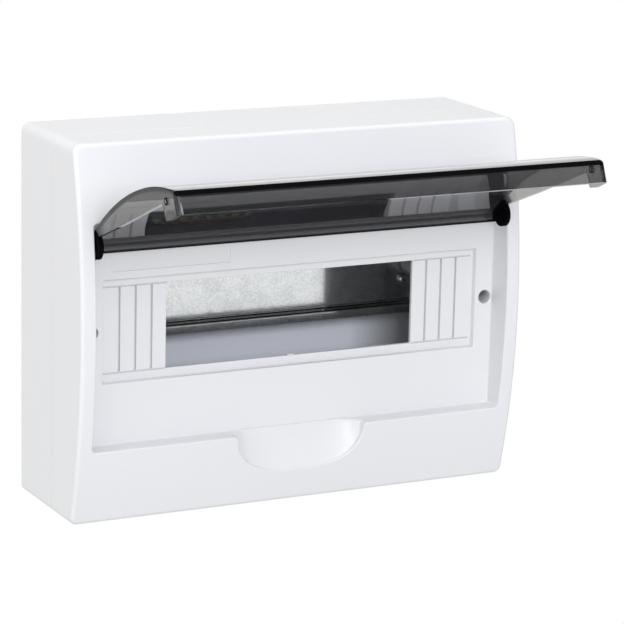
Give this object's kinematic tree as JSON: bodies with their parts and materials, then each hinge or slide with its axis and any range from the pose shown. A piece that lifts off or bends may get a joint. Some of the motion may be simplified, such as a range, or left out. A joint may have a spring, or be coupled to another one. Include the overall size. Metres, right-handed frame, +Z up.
{
  "type": "breaker panel box",
  "caption": "Surface-mounted plastic enclosure for modular circuit breakers, with a curved front, a hinged smoked door, a DIN rail and two terminal bars.",
  "frame": {"origin": "on the back face of the tray, behind the middle of the rail and of the module window", "axes": "+X to the right seen from the front, +Y into the wall, +Z up"},
  "size_m": [0.2546, 0.1792, 0.1983],
  "materials": {
    "white_plastic": "fine satin moulded plastic, cool white",
    "smoked_plastic": "clear polished plastic with a grey smoke tint",
    "galvanised_steel": "bright zinc coat with a fine spangle",
    "zinc_plate": "zinc-plated steel",
    "brass": "drawn brass, lightly tarnished",
    "blue_plastic": "moulded plastic, blue for neutral",
    "green_plastic": "moulded plastic, green for earth"
  },
  "bodies": {
    "box": {"rear_tray": "white_plastic", "front_cover": "white_plastic", "din_rail": "galvanised_steel", "rail_screw_left": "zinc_plate", "rail_screw_right": "zinc_plate", "cover_screw_left": "zinc_plate", "cover_screw_right": "zinc_plate", "neutral_bar": "brass", "earth_bar": "brass", "neutral_bar_holder": "blue_plastic", "earth_bar_holder": "green_plastic", "neutral_clamp_screw_1": "zinc_plate", "neutral_clamp_screw_2": "zinc_plate", "neutral_clamp_screw_3": "zinc_plate", "neutral_clamp_screw_4": "zinc_plate", "neutral_clamp_screw_5": "zinc_plate", "neutral_clamp_screw_6": "zinc_plate", "neutral_clamp_screw_7": "zinc_plate", "neutral_holder_screw_left": "zinc_plate", "neutral_holder_screw_right": "zinc_plate", "earth_clamp_screw_1": "zinc_plate", "earth_clamp_screw_2": "zinc_plate", "earth_clamp_screw_3": "zinc_plate", "earth_clamp_screw_4": "zinc_plate", "earth_clamp_screw_5": "zinc_plate", "earth_clamp_screw_6": "zinc_plate", "earth_clamp_screw_7": "zinc_plate", "earth_holder_screw_left": "zinc_plate", "earth_holder_screw_right": "zinc_plate"},
    "door": {"door": "smoked_plastic"}
  },
  "joints": [
    {"name": "door_hinge", "type": "hinge", "parent": "box", "child": "door", "pos_m": [0, -0.0781, 0.048], "axis": [1, 0, 0], "range_deg": [0, 115.2]}
  ]
}
